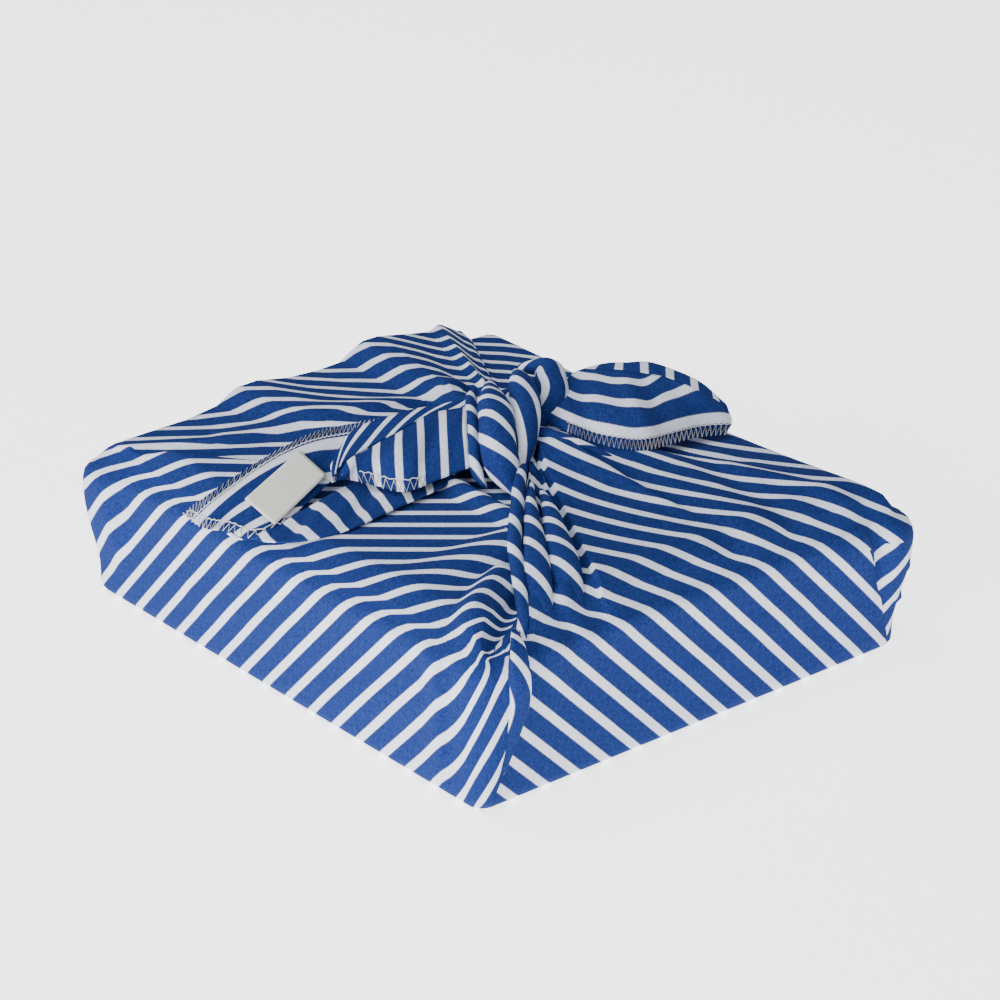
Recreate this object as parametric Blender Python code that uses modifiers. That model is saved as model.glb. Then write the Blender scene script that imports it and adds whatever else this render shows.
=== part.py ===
"""A furoshiki wrap: one square of cloth folded round a flat box and knotted on top.

Metres, +Z up. The box lies flat, its long sides along Y. The cloth's near left side faces -X, its
near right side -Y. The tables are in millimetres: MM turns them into metres.
"""
import math
from collections import namedtuple

import bmesh
import bpy
import numpy as np
from mathutils import Matrix, Vector

MM = 0.001

# The wrapped box, outside the cloth
HALF_X = 100.0
HALF_Y = 116.0
LID = 54.0
CORNER_ROUND = 7.0
FOOT_ROUND = 4.0
LID_ROUND = 6.0

# The cloth and what it leaves free
CLOTH = 2.0
DRAPE_GAP = 2.0
SEAT_GAP = 0.3

# The knot stands near the middle of the lid; the two tied sides of the cloth rise to it
KNOT_X, KNOT_Y = 12.0, -10.0
KNOT_FOOT = 9.0
CREST_END = 9.0

# The cloth crowns over the lid: height on the near and the far side, at the knot, and the width
# of its slope at the edge; the tied front is fuller still
CROWN_NEAR, CROWN_FAR, CROWN_EDGE = 6.5, 4.0, 16.0
CROWN_KNOT, KNOT_DIP = 6.0, 4.0
OVERLAP = 1.6
DOME_X, DOME_Y, DOME_REACH, DOME_HIGH = 42.0, -52.0, 75.0, 5.0
AIR_SHARE, AIR_BELOW = 0.92, 3.0
# The folded sides part a little under the left tail
MOUTH_SIZE, MOUTH_PLACE = Vector((14, 7, 8)), Vector((-26, 16, 63.5))

# Facets: columns round the wrap by stretch, rings from the knot to the middle of the base
Stretch = namedtuple("Stretch", "start columns")
STRETCHES = (
    Stretch(0, 28), Stretch(60, 16), Stretch(180, 12), Stretch(215, 12), Stretch(420, 8),
    Stretch(440, 30), Stretch(530, 20), Stretch(645, 18), Stretch(820, 14), Stretch(864, 0),
)
LID_RINGS = 16
SIDE_RINGS = 8
BASE_RINGS = 2

# Crests and valleys of the lid: from beside the knot outwards, with the width to the left and right
# of the line seen from the knot, and the height, each at the inner and the outer end
Crest = namedtuple("Crest", "x0 y0 x1 y1 left0 left1 right0 right1 high0 high1")
TIED_FRONT = (
    Crest(-13, -41, -75, -119, 4, 5, 3, 4, 5, 4.5),        # leading rope
    Crest(-8, -44, -57, -117, 4, 7, 4, 7, 5.5, 4),         # second rope
    Crest(-1, -34, -36, -116, 4, 5, 10, 26, 5.5, 4.5),     # broad crest beside the deep crease
)
TIED_BACK = (
    Crest(31, 49, -14, 58, 4, 4, 12, 16, 2.5, 2),          # long fold across the tied back
    Crest(-14, 58, -62, 77, 4, 4, 16, 14, 2, 2),
    Crest(-62, 77, -92, 100, 4, 4, 7, 8, 2, 1.5),
)
# Pleats of the tied back: girth, height over the lid near the knot and at the outline
Pleat = namedtuple("Pleat", "girth inner outer")
BACK_PLEATS = (
    Pleat(400, 9, 5), Pleat(432, 12, 7), Pleat(442, 13, 12.5), Pleat(454, 12, 13),
    Pleat(465, 18, 18.6), Pleat(474, 13, 16.4), Pleat(489, 16, 19), Pleat(504, 17, 20.5),
    Pleat(511, 13, 18.5), Pleat(518, 11, 14), Pleat(545, 15, 13.6), Pleat(560, 14, 16),
    Pleat(569, 13, 15.4), Pleat(578, 12, 10), Pleat(591, 11, 7.8), Pleat(628, 8, 6),
    Pleat(650, 7, 6),
)
FLAT_LEFT = (
    Crest(-30, -12, -34, -50, 9, 11, 9, 11, 3.5, 3),
    Crest(-48, -60, -88, -60, 12, 14, 12, 14, 3, 1),
    Crest(-64, -86, -90, -84, 11, 12, 11, 12, 2, 1),
)
# Folds of the sides: along the girth from the near corner, and up
SIDE_FOLDS = (
    Crest(7, 4, 20, 52, 12, 10, 1.5, 1.5, 1.6, 2.6),    # the front left cloth laps round the near corner
    Crest(846, 10, 842, 50, 8, 8, 5, 5, 0.5, 2.0),      # soft fold beside the near corner
    Crest(172, 2, 186, 50, 26, 30, 2, 2, 0.6, 2.4),     # the tied front stops short of the right corner
    Crest(192, 44, 222, 44, 14, 14, 34, 34, 5.5, 7.0),  # the right corner bags, with crumples
    Crest(198, 33, 228, 35, 4, 5, 4, 5, 5.8, 6.8),
    Crest(198, 21, 222, 24, 4, 5, 4, 5, 3.8, 4.6),
    Crest(614, 44, 650, 44, 24, 26, 30, 34, 3.5, 5.5),  # the left corner bags
    Crest(440, 50, 428, 20, 10, 10, 10, 10, 3.0, 1.0),
)
# Where the tied cloth ends on the lid, seen from the knot: girth positions of its leading edges
FRONT_LEAD, FRONT_END = 22.0, 300.0
BACK_START, BACK_LEAD = 452.0, 628.0
GIRTH = 4 * (HALF_X + HALF_Y)

# Bands of the knot and the tails: sections from end to end, with the half width, half thickness and
# how far the section's middle bows out, and the direction of the width
Section = namedtuple("Section", "x y z wide thick bow ax ay az")
FRONT_WRAP = (
    Section(22, 16, 58, 8, 4.5, 0, 1, -1, 0), Section(22, 15, 73, 11, 5, 0, 1, -1, 0.2),
    Section(14, 6, 82, 13, 5.5, 0, 1, -1, 0.3), Section(1, -9, 79, 14, 5.5, 0, 1, -0.8, 0.3),
    Section(-6, -18, 70, 12, 5.5, 0, 1, -0.7, 0.2), Section(-5, -22, 60, 8, 4.5, 0, 1, -0.6, 0),
)
SIDE_LOOP = (
    Section(40, 26, 58, 6, 4.5, 0, 1, -0.8, 0), Section(38, 22, 74, 8, 5, 0, 1, -0.8, 0),
    Section(31, 11, 82, 9, 5.5, 0, 1, -0.8, 0.2), Section(20, -4, 81, 9, 5.5, 0, 1, -0.8, 0.2),
    Section(9, -17, 72, 8, 5, 0, 1, -0.8, 0.1), Section(4, -24, 58, 6, 4.5, 0, 1, -0.6, 0),
)
CORE = (
    Section(-10, -6, 66, 8, 8, 0, 0, 0, 1), Section(8, -3, 70, 14, 12, 0, 0, 0, 1),
    Section(24, 7, 71, 12, 11, 0, 0, 0, 1), Section(42, 14, 67, 8, 8, 0, 0, 0, 1),
)
LEFT_TAIL = (
    Section(6, 3, 74, 12, 4, 2, 0.3, 0.8, 0.4), Section(-13, 1, 74, 17, 3, 2, 0.3, 0.9, 0.3),
    Section(-30, 5, 72, 23, 2.4, 2, 0.2, 0.95, 0.28), Section(-46, 9, 70.5, 26, 2.2, 2, 0.25, 1, 0.27),
    Section(-66, 10, 68.5, 31, 2, 2, 0.4, 0.95, 0.24),
    Section(-86, 13, 65.5, 26, 1.7, 1.5, 0.33, 0.95, 0.22),
    Section(-98, 20, 62, 19, 1.4, 1, 0.14, 1, 0.18), Section(-108, 28, 59.8, 8, 1.2, 0.5, 0, 1, 0.08),
    Section(-111, 31, 59.4, 4, 1.1, 0, 0, 1, 0),
)
RIGHT_TAIL = (
    Section(24, 3, 77, 9, 5, 0, 0.5, 0.6, 0.6), Section(37, -6, 77, 14.5, 3, 2, 0.6, 0.65, 0.65),
    Section(50, -12, 76, 18, 2.4, 2, 0.6, 0.62, 0.6),
    Section(63, -20, 75, 19, 2.1, 2, 0.62, 0.62, 0.55),
    Section(76, -27, 72, 17, 1.8, 2, 0.6, 0.65, 0.48),
    Section(88, -33, 68, 12, 1.4, 1.5, 0.5, 0.8, 0.4),
    Section(92, -36, 66.5, 6, 1.1, 0.5, 0.5, 0.8, 0.4),
)

# The label lies on the left tail, which leans along it and across it
LABEL_LONG, LABEL_WIDE, LABEL_THICK = 36.0, 15.0, 0.8
LABEL_LEAN_LONG, LABEL_LEAN_WIDE = 12.0, 25.0
LABEL_X, LABEL_Y, LABEL_TURN = -80.0, 14.0, 18.0
LABEL_GAP = 0.45

CLOTH_BLUE = (0.045, 0.13, 0.42, 1)
LABEL_CREAM = (0.78, 0.75, 0.66, 1)
CARDBOARD = (0.42, 0.29, 0.17, 1)


def smooth(value):
    """0 to 1 with soft ends."""
    value = np.clip(value, 0, 1)
    return value * value * (3 - 2 * value)


def relief(rows, a, b):
    """The highest of the crests over each place (a, b)."""
    high = np.zeros_like(a)
    for row in rows:
        along_a, along_b = row.x1 - row.x0, row.y1 - row.y0
        length = math.hypot(along_a, along_b)
        along = ((a - row.x0) * along_a + (b - row.y0) * along_b) / length
        across = ((a - row.x0) * along_b - (b - row.y0) * along_a) / length
        share = np.clip(along / length, 0, 1)
        left = row.left0 + (row.left1 - row.left0) * share
        right = row.right0 + (row.right1 - row.right0) * share
        off = np.clip(np.where(across < 0, -across / left, across / right), 0, 1)
        beyond = np.maximum(np.maximum(-along, along - length), 0)
        crest = (row.high0 + (row.high1 - row.high0) * share) * np.cos(off * math.pi / 2) ** 1.5
        high = np.maximum(high, crest * smooth(1 - beyond / CREST_END))
    return high


def rim(girth, inset):
    """Place and outward direction on the rounded outline, inset from the outside."""
    girth = np.asarray(girth, float) % GIRTH
    sides = ((2 * HALF_X, (-1, -1), (1, 0)), (2 * HALF_Y, (1, -1), (0, 1)),
             (2 * HALF_X, (1, 1), (-1, 0)), (2 * HALF_Y, (-1, 1), (0, -1)))
    place = np.zeros((len(girth), 2))
    out = np.zeros((len(girth), 2))
    start = 0.0
    for length, corner, along in sides:
        along = np.array(along, float)
        normal = np.array((along[1], -along[0]))
        begin = np.array(corner) * (HALF_X, HALF_Y)
        here = (girth >= start) & (girth < start + length)
        reach = girth[here] - start
        turn = np.zeros_like(reach)
        near = reach < CORNER_ROUND
        far = reach > length - CORNER_ROUND
        turn[near] = -(1 - reach[near] / CORNER_ROUND) * math.pi / 4
        turn[far] = (1 - (length - reach[far]) / CORNER_ROUND) * math.pi / 4
        centre = np.clip(reach, CORNER_ROUND, length - CORNER_ROUND)
        direction = np.cos(turn)[:, None] * normal + np.sin(turn)[:, None] * along
        base = begin + centre[:, None] * along - normal * CORNER_ROUND
        place[here] = base + direction * (CORNER_ROUND - np.asarray(inset)[here][:, None])
        out[here] = direction
        start += length
    return place, out


def girth_seen(x, y):
    """Girth position and reach (0 at the knot, 1 at the outline) of places on the lid."""
    dx, dy = x - KNOT_X, y - KNOT_Y
    dx = np.where(np.abs(dx) < 1e-6, 1e-6, dx)
    dy = np.where(np.abs(dy) < 1e-6, 1e-6, dy)
    to_x = (np.sign(dx) * HALF_X - KNOT_X) / dx
    to_y = (np.sign(dy) * HALF_Y - KNOT_Y) / dy
    scale = np.minimum(to_x, to_y)
    rim_x, rim_y = KNOT_X + dx * scale, KNOT_Y + dy * scale
    on_x = to_x < to_y
    girth = np.where(
        on_x,
        np.where(dx > 0, 2 * HALF_X + rim_y + HALF_Y, 4 * HALF_X + 2 * HALF_Y + HALF_Y - rim_y),
        np.where(dy < 0, rim_x + HALF_X, 2 * HALF_X + 2 * HALF_Y + HALF_X - rim_x))
    return girth, 1 / scale


def band(value, start, end, soft):
    """1 between start and end, falling to 0 over a soft edge outside it."""
    return smooth((value - start) / soft + 1) * smooth((end - value) / soft + 1)


def lid_height(x, y):
    """Height of the cloth over the lid."""
    girth, reach = girth_seen(x, y)
    edge = np.maximum(reach, 0.15)
    front = band(girth, FRONT_LEAD, FRONT_END, 4 / edge)
    back = band(girth, BACK_START, BACK_LEAD, 5 / edge)
    inside = np.minimum(HALF_X - np.abs(x), HALF_Y - np.abs(y)) - LID_ROUND / 2
    crown = (CROWN_NEAR + CROWN_FAR * smooth((y - 20) / 90)) * smooth(inside / CROWN_EDGE)
    crown += CROWN_KNOT * np.clip(1 - reach, 0, 1) ** 1.2 - KNOT_DIP * (1 - smooth(reach / 0.15))
    off = np.clip(np.hypot(x - DOME_X, y - DOME_Y) / DOME_REACH, 0, 1)
    gathered = smooth((reach - 0.05) / 0.12)
    front_high = front * (OVERLAP + gathered * relief(TIED_FRONT, x, y)
                          + DOME_HIGH * np.cos(off * math.pi / 2) ** 2)
    pleats = np.array(BACK_PLEATS)
    inner = np.interp(girth, pleats[:, 0], pleats[:, 1])
    outer = np.interp(girth, pleats[:, 0], pleats[:, 2])
    back_high = inner + (outer - inner) * smooth((reach - 0.3) / 0.62) + relief(TIED_BACK, x, y)
    flat_high = (1 - front) * (1 - back) * relief(FLAT_LEFT, x, y)
    return (LID + crown * (1 - back) + smooth(inside / 4) * (front_high + flat_high)
            + smooth(inside / 8) * back * back_high)


def ring_profile():
    """Rows (inset from the outline or -1 on the lid, share from the knot, height) from knot to base."""
    rows = [("lid", share) for share in np.linspace(0, 1, LID_RINGS + 1)[1:]]
    rows += [("side", share) for share in np.linspace(0, 1, SIDE_RINGS + 1)[1:]]
    rows += [("base", share) for share in np.linspace(0, 1, BASE_RINGS + 1)[1:]]
    return rows


def wrap_point(kind, share, girth):
    """Places on the outside of the wrap for one ring, in millimetres."""
    none = np.zeros_like(girth)
    if kind == "lid":
        outer, _ = rim(girth, none + LID_ROUND)
        first = np.array((KNOT_X, KNOT_Y))
        start = KNOT_FOOT / np.hypot(outer[:, 0] - KNOT_X, outer[:, 1] - KNOT_Y)
        reach = start + (1 - start) * share
        flat = first + (outer - first) * reach[:, None]
        return np.column_stack((flat, lid_height(flat[:, 0], flat[:, 1])))
    if kind == "side":
        arc_lid, arc_foot = LID_ROUND * math.pi / 2, FOOT_ROUND * math.pi / 2
        straight = LID - LID_ROUND - FOOT_ROUND
        run = share * (arc_lid + straight + arc_foot)
        if run < arc_lid:
            turn = run / LID_ROUND
            inset = LID_ROUND * (1 - math.sin(turn))
            height = LID - LID_ROUND * (1 - math.cos(turn))
        elif run < arc_lid + straight:
            inset, height = 0.0, LID - LID_ROUND - (run - arc_lid)
        else:
            turn = (run - arc_lid - straight) / FOOT_ROUND
            inset = FOOT_ROUND * (1 - math.cos(turn))
            height = FOOT_ROUND * (1 - math.sin(turn))
        place, out = rim(girth, none + inset)
        high = none + height
        turned = np.where(girth > GIRTH / 2, girth - GIRTH, girth)
        bulge = relief([row for row in SIDE_FOLDS if row.x0 < GIRTH / 2], girth, high)
        bulge = np.maximum(bulge, relief([row for row in SIDE_FOLDS if row.x0 >= GIRTH / 2],
                                         girth, high))
        bulge = np.maximum(bulge, relief([Crest(row.x0 - GIRTH, row.y0, row.x1 - GIRTH, *row[3:])
                                          for row in SIDE_FOLDS if row.x0 > 800], turned, high))
        bulge *= smooth(height / FOOT_ROUND - 0.2)
        return np.column_stack((place + out * bulge[:, None], high))
    outer, _ = rim(girth, none + FOOT_ROUND)
    return np.column_stack((outer * (1 - share), none))


def air_body(group):
    """The air between the lid and the cloth crowned over it, under the lowest cloth nearby."""
    girth = girth_stations()
    outer, _ = rim(girth, np.zeros_like(girth) + LID_ROUND)
    outer *= AIR_SHARE
    first = np.array((KNOT_X, KNOT_Y))
    shares = np.linspace(0, 1, LID_RINGS + 1)[1:]
    places = first + (outer - first) * shares[:, None, None]
    high = lid_height(places[:, :, 0].ravel(), places[:, :, 1].ravel()).reshape(places.shape[:2])
    beside = np.minimum.reduce([np.roll(high, step, axis=1) for step in (-2, -1, 0, 1, 2)])
    lowest = np.minimum(beside, np.minimum(np.vstack((beside[1:], beside[-1:])),
                                           np.vstack((beside[:1], beside[:-1]))))
    high = np.maximum(lowest - AIR_BELOW, LID - CLOTH + 0.1)
    rings = [np.column_stack((places[ring, ::2], high[ring, ::2]))
             for ring in range(1, LID_RINGS, 2)]
    rings.append(np.column_stack((outer[::2], np.zeros(len(girth[::2])) + LID - CLOTH - 1)))
    bm, named = globe(len(girth[::2]), len(rings) + 1)
    for vert, ring, column in named:
        if ring == 0:
            place = (KNOT_X, KNOT_Y, high[0].min())
        elif ring == len(rings) + 1:
            place = (0, 0, LID - CLOTH - 1)
        else:
            place = rings[ring - 1][column]
        vert.co = Vector([float(value) * MM for value in place])
    return mesh_object("air under the crown", bm, group)


def mesh_object(name, bm, group):
    """Object from a bmesh, put in a collection."""
    bmesh.ops.recalc_face_normals(bm, faces=bm.faces)
    if bm.calc_volume(signed=True) < 0:
        bmesh.ops.reverse_faces(bm, faces=bm.faces)
    mesh = bpy.data.meshes.new(name)
    bm.to_mesh(mesh)
    bm.free()
    obj = bpy.data.objects.new(name, mesh)
    group.objects.link(obj)
    return obj


def globe(columns, rings):
    """A UV sphere with each vertex named by its ring (0 is the top pole) and its column."""
    bm = bmesh.new()
    bmesh.ops.create_uvsphere(bm, u_segments=columns, v_segments=rings, radius=1)
    named = []
    for vert in bm.verts:
        ring = round(math.acos(max(-1, min(1, vert.co.z))) / math.pi * rings)
        column = round(math.atan2(vert.co.y, vert.co.x) / math.tau * columns) % columns
        named.append((vert, ring, column))
    return bm, named


def girth_stations():
    """Girth positions of the columns, closer together where the folds are."""
    stations = []
    for here, after in zip(STRETCHES, STRETCHES[1:]):
        stations += list(np.linspace(here.start, after.start, here.columns, endpoint=False))
    return np.array(stations)


def wrap_body(group):
    """The outside of the wrapped box, closed, with its folds."""
    girth = girth_stations()
    rows = ring_profile()
    rings = [wrap_point(kind, share, girth) for kind, share in rows]
    bm, named = globe(len(girth), len(rows))
    top = (KNOT_X, KNOT_Y, lid_height(np.array([KNOT_X + 1.0]), np.array([KNOT_Y]))[0])
    for vert, ring, column in named:
        if ring == 0:
            place = top
        elif ring == len(rows):
            place = (0, 0, 0)
        else:
            place = rings[ring - 1][column]
        vert.co = Vector([float(value) * MM for value in place])
    return mesh_object("cloth", bm, group)


def spline(rows, count):
    """Sections read from a smooth curve through the table's rows."""
    table = np.array(rows, float)
    padded = np.vstack((2 * table[0] - table[1], table, 2 * table[-1] - table[-2]))
    out = []
    for share in np.linspace(0, len(table) - 1, count):
        cell = min(int(share), len(table) - 2)
        t = share - cell
        p0, p1, p2, p3 = padded[cell:cell + 4]
        out.append(0.5 * (2 * p1 + (p2 - p0) * t + (2 * p0 - 5 * p1 + 4 * p2 - p3) * t ** 2
                          + (3 * p1 - p0 - 3 * p2 + p3) * t ** 3))
    return [Section(*row) for row in out]


def lump(name, rows, group, sides=14, count=12):
    """A closed band of cloth swept along a table of sections."""
    sections = spline(rows, count + 1)
    bm, named = globe(sides, count)
    for vert, ring, column in named:
        here = sections[ring]
        before, after = sections[max(ring - 1, 0)], sections[min(ring + 1, count)]
        along = Vector(after[:3]) - Vector(before[:3])
        along.normalize()
        wide = Vector((here.ax, here.ay, here.az))
        wide = (wide - along * wide.dot(along)).normalized()
        thick = along.cross(wide)
        place = Vector(here[:3])
        if 0 < ring < count:
            turn = column / sides * math.tau
            bow = here.bow * math.sin(turn) ** 2
            place += wide * here.wide * math.cos(turn)
            place += thick * (here.thick * math.sin(turn) + bow)
        vert.co = place * MM
    return mesh_object(name, bm, group)


def rounded_block(name, size, centre, edge, group):
    """A block with rounded edges."""
    bm = bmesh.new()
    bmesh.ops.create_cube(bm, size=1, matrix=Matrix.Diagonal((*size, 1)))
    bmesh.ops.bevel(bm, geom=list(bm.edges), offset=edge, segments=3, profile=0.5,
                     affect="EDGES")
    obj = mesh_object(name, bm, group)
    obj.location = centre
    return obj


def boolean(obj, tool, operation):
    """Join a tool to an object, or cut it away."""
    modifier = obj.modifiers.new(f"{operation.lower()} {tool.name}", "BOOLEAN")
    modifier.operation = operation
    modifier.object = tool
    modifier.solver = "MANIFOLD"


def paint(obj, name, colour, roughness):
    """Give an object its own material."""
    material = bpy.data.materials.new(name)
    material.use_nodes = True
    shader = material.node_tree.nodes["Principled BSDF"]
    shader.inputs["Base Color"].default_value = colour
    shader.inputs["Roughness"].default_value = roughness
    shader.inputs["Metallic"].default_value = 0
    material.diffuse_color = colour
    obj.data.materials.append(material)


def inside_box(gap_side, gap_top, gap_base):
    """Size and centre of a block that leaves these gaps to the cloth's inner faces."""
    size = Vector((2 * (HALF_X - CLOTH - gap_side), 2 * (HALF_Y - CLOTH - gap_side),
                   LID - 2 * CLOTH - gap_top - gap_base)) * MM
    centre = Vector((0, 0, CLOTH + gap_base)) * MM + Vector((0, 0, size.z / 2))
    return size, centre


def make_cloth(parts, cutters):
    """The knotted cloth: the folded wrap, its knot and its two tails in one solid."""
    cloth = wrap_body(parts)
    for name, rows in (("core", CORE), ("front wrap", FRONT_WRAP), ("side loop", SIDE_LOOP),
                       ("left tail", LEFT_TAIL), ("right tail", RIGHT_TAIL)):
        boolean(cloth, lump(name, rows, cutters), "UNION")
    size, centre = inside_box(0, 0, 0)
    boolean(cloth, rounded_block("room", size, centre, 3 * MM, cutters), "DIFFERENCE")
    boolean(cloth, air_body(cutters), "DIFFERENCE")
    boolean(cloth, rounded_block("mouth under the left tail", MOUTH_SIZE * MM, MOUTH_PLACE * MM,
                                 1 * MM, cutters), "DIFFERENCE")
    paint(cloth, "blue striped chambray", CLOTH_BLUE, 0.9)
    return cloth


def make_box(parts):
    """The plain box inside, seated on the cloth's base."""
    size, centre = inside_box(DRAPE_GAP, DRAPE_GAP, SEAT_GAP)
    box = rounded_block("box", size, centre, 1.5 * MM, parts)
    paint(box, "plain cardboard", CARDBOARD, 0.8)


def make_label(parts, cloth):
    """The blank woven label, lying on the left tail."""
    bm = bmesh.new()
    bmesh.ops.create_grid(bm, x_segments=12, y_segments=6, size=0.5)
    plan_long = LABEL_LONG * math.cos(math.radians(LABEL_LEAN_LONG))
    plan_wide = LABEL_WIDE * math.cos(math.radians(LABEL_LEAN_WIDE))
    bmesh.ops.scale(bm, vec=Vector((plan_long, plan_wide, 1)) * MM, verts=bm.verts)
    mesh = bpy.data.meshes.new("label")
    bm.to_mesh(mesh)
    bm.free()
    label = bpy.data.objects.new("label", mesh)
    parts.objects.link(label)
    label.location = Vector((LABEL_X, LABEL_Y, 2 * LID)) * MM
    label.rotation_euler.z = math.radians(LABEL_TURN)
    lay = label.modifiers.new("lie on the tail", "SHRINKWRAP")
    lay.target = cloth
    lay.wrap_method = "PROJECT"
    lay.use_project_z = True
    lay.use_negative_direction = True
    lay.use_positive_direction = False
    lay.offset = LABEL_GAP * MM
    thick = label.modifiers.new("label thickness", "SOLIDIFY")
    thick.thickness = LABEL_THICK * MM
    thick.offset = 1
    paint(label, "cream woven label", LABEL_CREAM, 0.85)


def main():
    for old in list(bpy.data.objects):
        bpy.data.objects.remove(old, do_unlink=True)
    parts = bpy.data.collections.new("furoshiki wrap")
    cutters = bpy.data.collections.new("cutters")
    for group in (parts, cutters):
        bpy.context.scene.collection.children.link(group)
    cloth = make_cloth(parts, cutters)
    make_box(parts)
    make_label(parts, cloth)
    for tool in cutters.objects:
        tool.hide_render = True
        tool.display_type = "WIRE"


main()
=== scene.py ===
"""A furoshiki wrap: one striped cloth folded round a flat box and knotted on its lid.

Tables of the cloth are in millimetres and MM turns them into metres. The cloth's near left side
faces -X, its near right side -Y. "Girth" runs round the box from the corner nearest the viewer:
the -Y side first, then +X, +Y and -X.
"""
import math
from collections import namedtuple

import bmesh
import bpy
import numpy as np
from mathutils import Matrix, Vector


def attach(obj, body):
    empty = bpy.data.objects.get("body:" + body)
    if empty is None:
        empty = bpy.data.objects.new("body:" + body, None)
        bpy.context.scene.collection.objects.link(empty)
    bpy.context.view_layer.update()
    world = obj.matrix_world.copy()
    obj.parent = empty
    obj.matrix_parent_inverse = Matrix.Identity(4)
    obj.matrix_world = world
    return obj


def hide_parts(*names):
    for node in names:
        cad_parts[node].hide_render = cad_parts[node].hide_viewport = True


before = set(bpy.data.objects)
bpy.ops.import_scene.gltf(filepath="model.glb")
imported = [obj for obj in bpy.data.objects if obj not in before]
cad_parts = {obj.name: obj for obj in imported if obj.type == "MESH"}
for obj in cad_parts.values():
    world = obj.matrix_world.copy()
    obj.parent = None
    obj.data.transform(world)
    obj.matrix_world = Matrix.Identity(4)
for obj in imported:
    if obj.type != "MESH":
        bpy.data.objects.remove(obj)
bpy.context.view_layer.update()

MM = 0.001

# ---------------------------------------------------------------- the wrapped box and its cloth
HALF_X = 100.0
HALF_Y = 116.0
LID = 54.0
CORNER_ROUND = 7.0
FOOT_ROUND = 4.0
LID_ROUND = 6.0
GIRTH = 4 * (HALF_X + HALF_Y)
CLOTH_THICK = 0.5
# The two sides of the cloth lying flat under the tied ones: heights, and how far inside they stay
FOLDED_LEVELS, FOLDED_INSET = (50.9, 51.9), 6.0

# The folds run together under the knot
GATHER_X, GATHER_Y = 12.0, -10.0
GATHER_FOOT = 7.0

# How the cloth crowns over the lid
CROWN_NEAR, CROWN_FAR, CROWN_EDGE = 6.5, 4.0, 16.0
CROWN_KNOT = 6.0
OVERLAP = 1.6
FOLD_END = 9.0

# Columns round the wrap, closer where the folds are: where a stretch starts and its columns
STRETCHES = (
    (0, 20), (11, 14), (22, 46), (60, 50), (172, 14), (188, 30), (240, 22), (300, 32), (452, 88),
    (628, 14), (640, 66), (820, 32), (864, 0),
)
LID_RINGS, SIDE_RINGS, BASE_RINGS = 70, 24, 3

# Edges where one side of the cloth lies over the next, as girth positions on the lid's outline
FRONT_LEAD, FRONT_HOOD, FRONT_END = 22.0, 172.0, 300.0
BACK_START, BACK_LEAD = 452.0, 628.0
HOOD_BOTTOM, HOOD_END = 43.0, 240.0
# The same edges drift along the girth lower down the sides: each edge, how far along the girth it
# takes its neighbours with it, and its moves at some heights
Drift = namedtuple("Drift", "girth reach heights moves")
DRIFTS = (
    Drift(22, 45, (0, 2, 20, 30, 54), (-18, -17, -7, -2, 0)),
    Drift(172, 40, (0, 7, 15, 33, 44, 54), (22, 21, 18, 12, 7, 0)),
)
# Edges that bow out towards -X on their way to the knot: each edge, how far along the girth that
# is felt, and by how much
Bow = namedtuple("Bow", "girth window amount")
BOWS = (Bow(628, 130, 23.0), Bow(22, 46, 2.0))
# The near left side is rolled up beside the front's edge, from this girth and reach outwards
ROLL_START, ROLL_REACH, ROLL_HIGH = 11.0, 0.9, 2.6

# Folds: a straight line on the lid from the knot outwards, the width to the left and to the right
# of it seen from the knot, and the height, each at the inner and the outer end
Fold = namedtuple("Fold", "x0 y0 x1 y1 left0 left1 right0 right1 high0 high1")
# Pleats gathered at the front's edge: girth near the knot and at the outline, then both heights
FRONT_PLEATS = (
    (20.5, 20.5, 2, 1), (23.5, 22.3, 2.4, 1.4), (30.5, 23, 1.2, 1.2), (32.5, 25, 1.2, 1.4),
    (40, 31, 0.2, 1.2), (43.5, 34, -0.6, 0.8), (48, 40, 1.0, 2.4), (53, 49, -1.0, 0.2),
    (56, 56, -0.8, 1.0),
)
# The broad front that lies over the ropes: its edge on the outline, its rise over them near the
# knot and at the outline, and how it domes
BROAD_START, BROAD_RISE_KNOT, BROAD_RISE_RIM = 55.5, 5.5, 2.0
BROAD_EDGE, BROAD_SHOULDER, BROAD_DOME = 14.0, 2.8, 19.5
BROAD_FALL, BROAD_FALL_END, BROAD_LOW = 170.0, 260.0, 0.45
ROPES_RISE = 0.6
BROAD_CRESTS = (
    Fold(36, -20, 42, -74, 14, 16, 14, 16, 1.2, 0.6),
    Fold(58, -70, 76, -113, 4, 8, 7, 9, 0.8, 2.2),
    Fold(30, -52, 34, -112, 9, 12, 9, 12, 0.6, 1.2),
    Fold(13.2, -26, 18.9, -101, 1.2, 2.0, 12, 14, 2.6, 0.8),
)
BROAD_TROUGHS = (
    Fold(8, -58, 20, -114, 7, 9, 7, 9, -0.8, -1.6),
    Fold(49, -50, 48, -114, 7, 8, 6, 8, -0.6, -1.4),
    Fold(36, -26, 66, -62, 3, 5, 6, 9, -1.6, -0.8),
)
BACK_CRESTS = (
    Fold(31, 49, -14, 58, 2.5, 2.5, 12, 16, 2.5, 2),
    Fold(-14, 58, -62, 77, 2.5, 3, 16, 14, 2, 2),
    Fold(-62, 77, -92, 100, 3, 3, 7, 8, 2, 1.5),
)
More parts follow.
